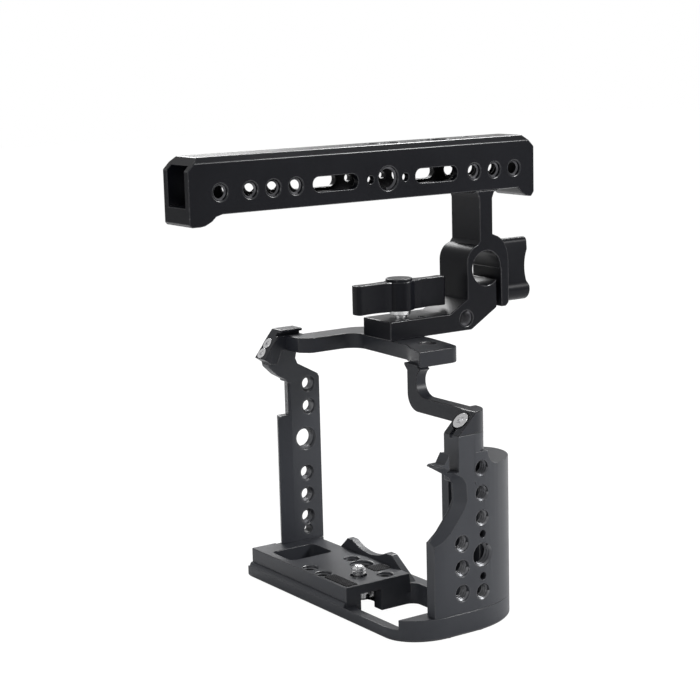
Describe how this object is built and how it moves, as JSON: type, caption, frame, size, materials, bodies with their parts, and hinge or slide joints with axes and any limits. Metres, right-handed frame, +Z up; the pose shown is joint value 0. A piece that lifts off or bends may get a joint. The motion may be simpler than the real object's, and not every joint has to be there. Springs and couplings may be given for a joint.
{
  "type": "camera cage",
  "caption": "Metal cage that screws round a camera body, with threaded side panels and a top handle whose neck clamps a rod.",
  "frame": {"origin": "where the axis of the camera screw meets the seat on top of the base plate", "axes": "+Z up along the camera screw, +Y towards the lens side, +X along the camera's width towards the grip side"},
  "size_m": [0.119, 0.1742, 0.188],
  "materials": {
    "anodised_grey": "satin anodised, machined",
    "anodised_black": "satin anodised, machined",
    "steel": "bright nickel plated",
    "pad": "ribbed matt"
  },
  "bodies": {
    "cage": {"base_plate": "anodised_grey", "left_side_panel": "anodised_grey", "top_frame": "anodised_black", "grip_panel": "anodised_grey", "rear_friction_pad": "pad", "front_friction_pad": "pad", "left_base_screws": "steel", "grip_base_screws": "steel", "left_top_screws": "steel", "grip_top_screw": "steel"},
    "camera_screw_unit": {"camera_screw": "steel", "camera_screw_clip": "steel"},
    "handle": {"handle_bar": "anodised_black", "handle_neck": "anodised_black", "neck_screws": "steel", "foot_pins": "steel"},
    "foot_knob_unit": {"foot_knob": "anodised_black", "foot_screw": "steel", "foot_washer": "steel"},
    "clamp_lever_unit": {"clamp_lever": "anodised_black", "clamp_screw": "steel", "clamp_washer": "steel"}
  },
  "joints": [
    {"name": "camera_screw_turn", "type": "hinge", "parent": "cage", "child": "camera_screw_unit", "pos_m": [0, 0, 0], "axis": [0, 0, 1], "continuous": true},
    {"name": "handle_lift", "type": "slide", "parent": "cage", "child": "handle", "axis": [0, 0, 1], "range_m": [0, 0.012]},
    {"name": "foot_knob_turn", "type": "hinge", "parent": "handle", "child": "foot_knob_unit", "pos_m": [-0.022, 0.0395, 0.101], "axis": [0, 0, 1], "continuous": true},
    {"name": "clamp_lever_turn", "type": "hinge", "parent": "handle", "child": "clamp_lever_unit", "pos_m": [-0.022, 0.0936, 0.1066], "axis": [0, 1, 0], "continuous": true}
  ]
}
